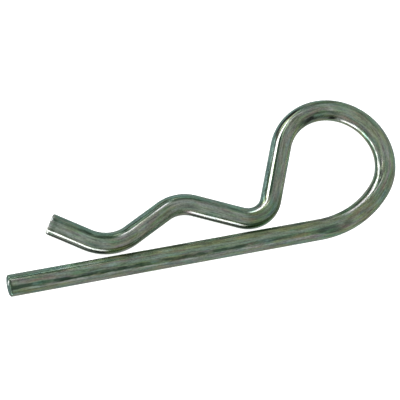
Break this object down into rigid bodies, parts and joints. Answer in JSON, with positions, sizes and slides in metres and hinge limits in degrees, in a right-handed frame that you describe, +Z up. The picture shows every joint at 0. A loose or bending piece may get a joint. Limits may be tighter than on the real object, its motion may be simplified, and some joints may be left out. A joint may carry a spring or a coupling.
{
  "type": "hitch r clip pin",
  "caption": "Spring wire R clip with a straight leg, a round eye and a wavy sprung arm; holds a clevis or hitch pin through its cross hole.",
  "frame": {"origin": "on the floor plane, below the middle of the clip's outline as it lies on its side", "axes": "+X along the straight leg, towards the eye; +Y from the leg towards the sprung arm; +Z up, square to the plane in which the wire is bent"},
  "size_m": [0.0792, 0.0278, 0.004],
  "materials": {
    "spring_wire": "drawn spring steel wire with a thin greenish zinc passivate, satin with fine lengthwise draw lines"
  },
  "bodies": {
    "root": {"clip_wire": "spring_wire"}
  },
  "joints": []
}
